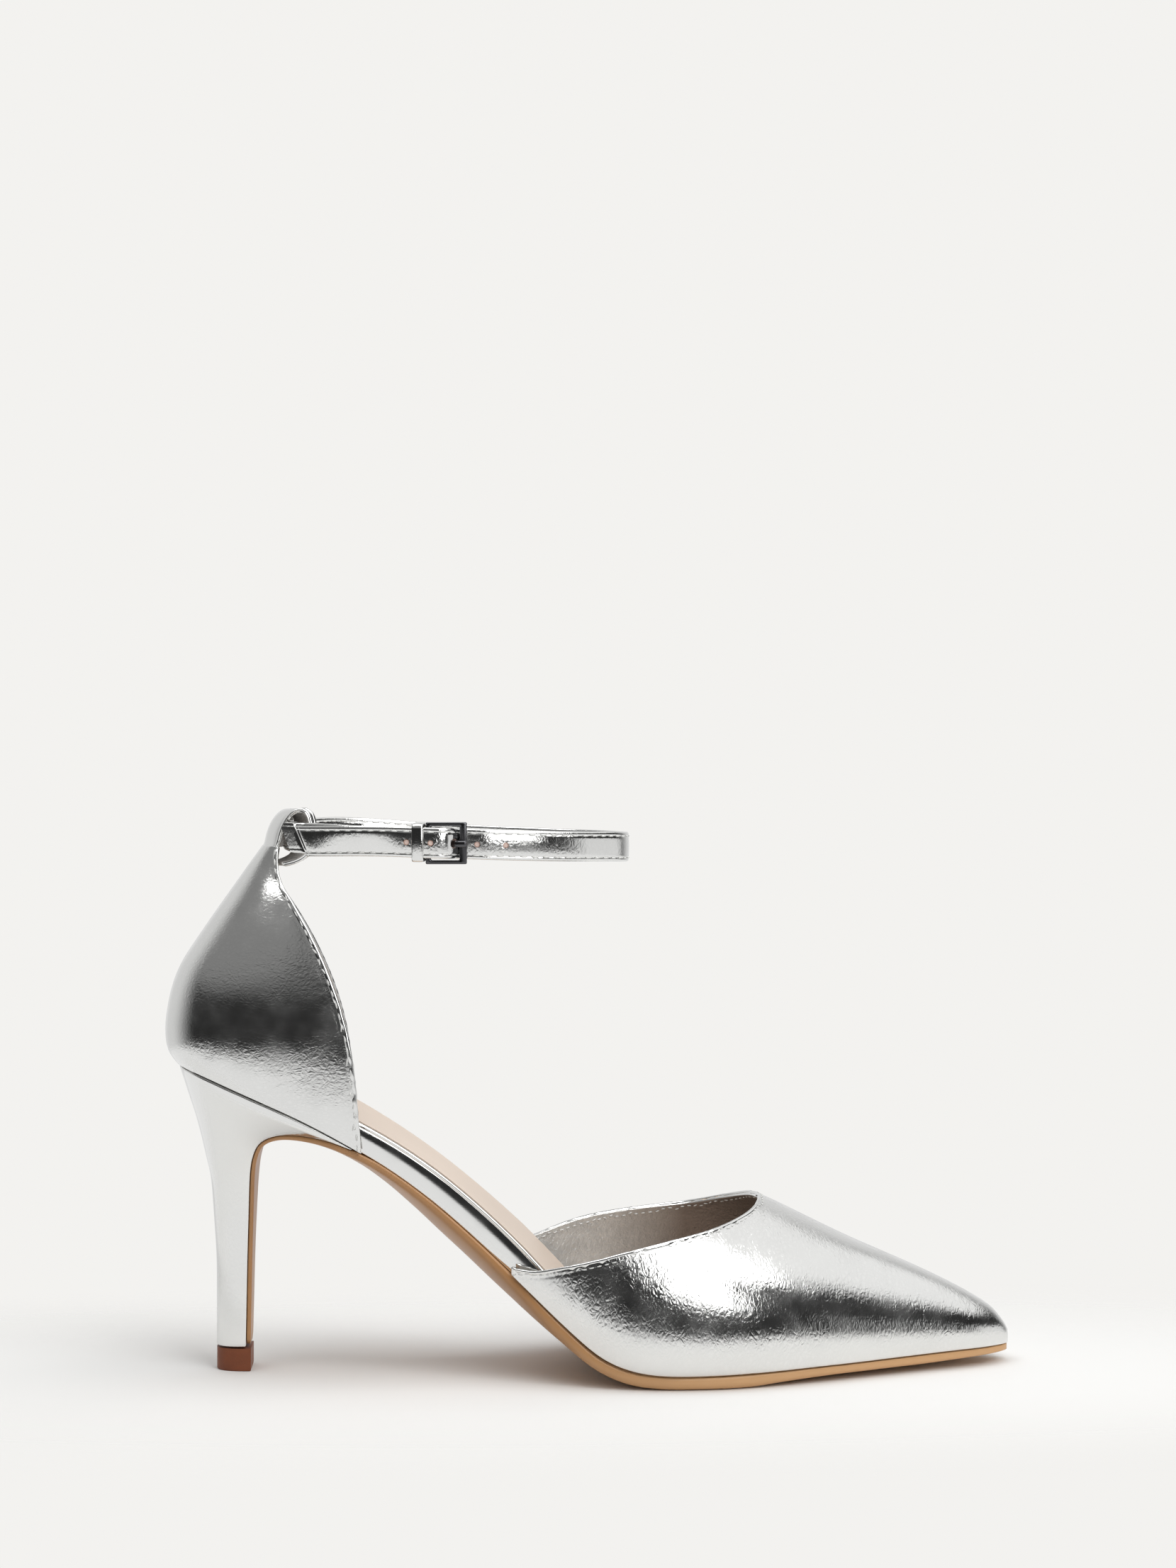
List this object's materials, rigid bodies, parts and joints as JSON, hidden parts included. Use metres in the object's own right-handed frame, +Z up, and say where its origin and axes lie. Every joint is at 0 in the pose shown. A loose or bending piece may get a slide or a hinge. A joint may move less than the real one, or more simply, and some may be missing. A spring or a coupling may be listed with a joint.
{
  "type": "ankle strap pump",
  "caption": "Right shoe with a pointed toe, open waist, closed heel cup, slim high heel and a buckled ankle strap held at the back.",
  "frame": {"origin": "middle of the shoe's outline, on the floor it stands on", "axes": "+X from the heel to the toe, +Y towards the medial (inner) side, +Z up"},
  "size_m": [0.2405, 0.0785, 0.1583],
  "materials": {
    "silver_leather": "mirror-like silver foil with a fine crackled grain",
    "gunmetal": "dark polished metal",
    "sock_lining": "matte beige pink",
    "tan_sole": "smooth tan, satin",
    "brown_rubber": "matte brown"
  },
  "bodies": {
    "root": {"vamp": "silver_leather", "counter": "silver_leather", "back_loop": "silver_leather", "ankle_strap": "silver_leather", "keeper": "silver_leather", "buckle_frame": "gunmetal", "buckle_prong": "gunmetal", "insole": "sock_lining", "insole_board": "silver_leather", "outsole": "tan_sole", "heel": "silver_leather", "top_piece": "brown_rubber"}
  },
  "joints": []
}
